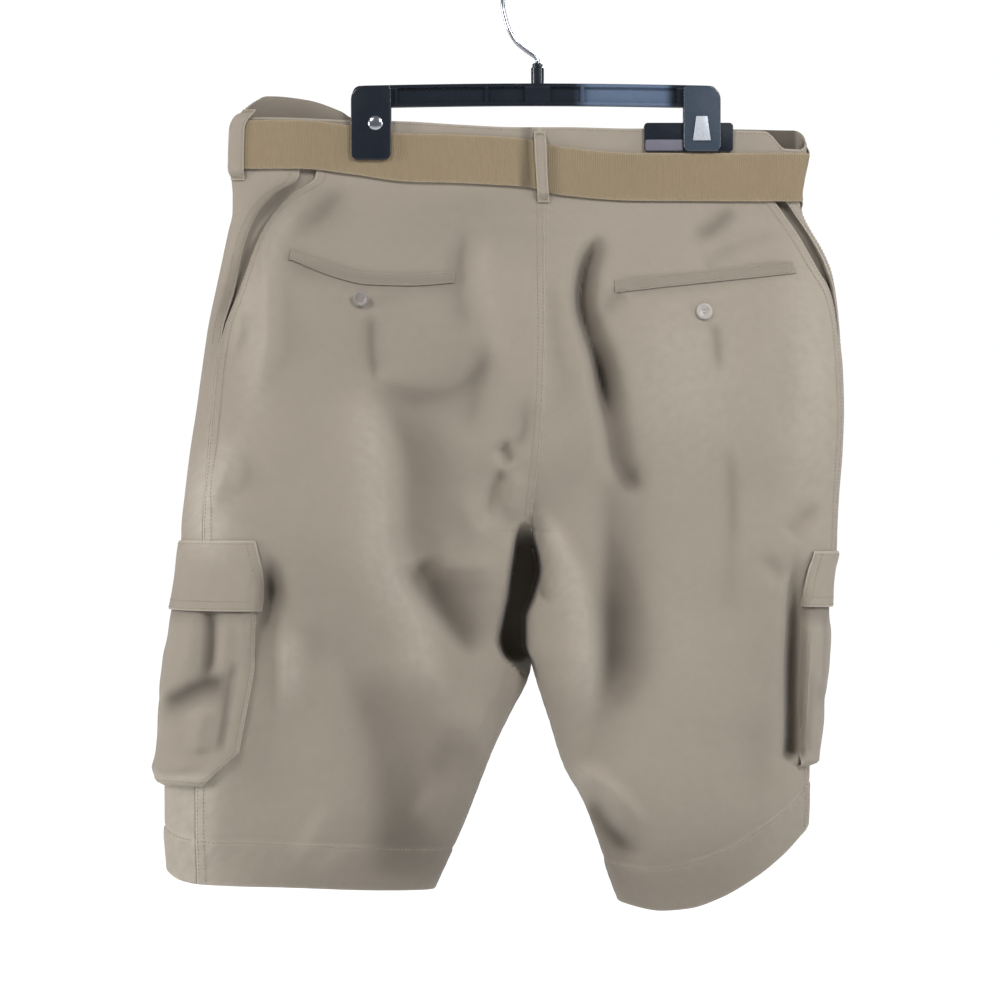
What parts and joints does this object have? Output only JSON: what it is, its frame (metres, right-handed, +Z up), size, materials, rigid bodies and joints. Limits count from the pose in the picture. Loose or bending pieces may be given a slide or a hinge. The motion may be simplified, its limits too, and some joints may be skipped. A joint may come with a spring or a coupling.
{
  "type": "cargo shorts with web belt on a clip hanger",
  "caption": "Knee-length khaki cargo shorts with flap pockets on the thighs, welt pockets behind and a web belt, hung flat by the waistband from a clip hanger.",
  "frame": {"origin": "inside top of the hanger's hook, where it sits on a rail", "axes": "+Z up; the back of the shorts faces -Y; the wearer's right is towards +X; the rail runs along Y"},
  "size_m": [0.5654, 0.1279, 0.7753],
  "materials": {
    "khaki_twill": "washed cotton twill",
    "tan_webbing": "woven webbing",
    "button_shell": "pale horn look",
    "black_plastic": "moulded, semi-gloss",
    "bright_steel": "bright plated",
    "dull_brass": "dull"
  },
  "bodies": {
    "root": {"back_left": "khaki_twill", "back_right": "khaki_twill", "belt": "tan_webbing", "belt_buckle": "dull_brass", "belt_loop_centre_back": "khaki_twill", "belt_loop_front_left": "khaki_twill", "belt_loop_front_right": "khaki_twill", "belt_loop_side_left": "khaki_twill", "belt_loop_side_right": "khaki_twill", "belt_tip": "dull_brass", "cargo_flap_left": "khaki_twill", "cargo_flap_right": "khaki_twill", "cargo_pocket_left": "khaki_twill", "cargo_pocket_right": "khaki_twill", "clip_left": "black_plastic", "clip_pad_back": "black_plastic", "clip_pad_front": "black_plastic", "clip_right": "black_plastic", "clip_rivet_left_back": "bright_steel", "clip_rivet_left_front": "bright_steel", "clip_rivet_right_back": "bright_steel", "clip_rivet_right_front": "bright_steel", "fly_placket": "khaki_twill", "front_left": "khaki_twill", "front_right": "khaki_twill", "hanger_bar": "black_plastic", "hanger_hook": "bright_steel", "slant_facing_left": "khaki_twill", "slant_facing_right": "khaki_twill", "waist_button": "button_shell", "waistband_left": "khaki_twill", "waistband_right": "khaki_twill", "welt_button_left": "button_shell", "welt_button_right": "button_shell", "welt_left": "khaki_twill", "welt_right": "khaki_twill"}
  },
  "joints": []
}
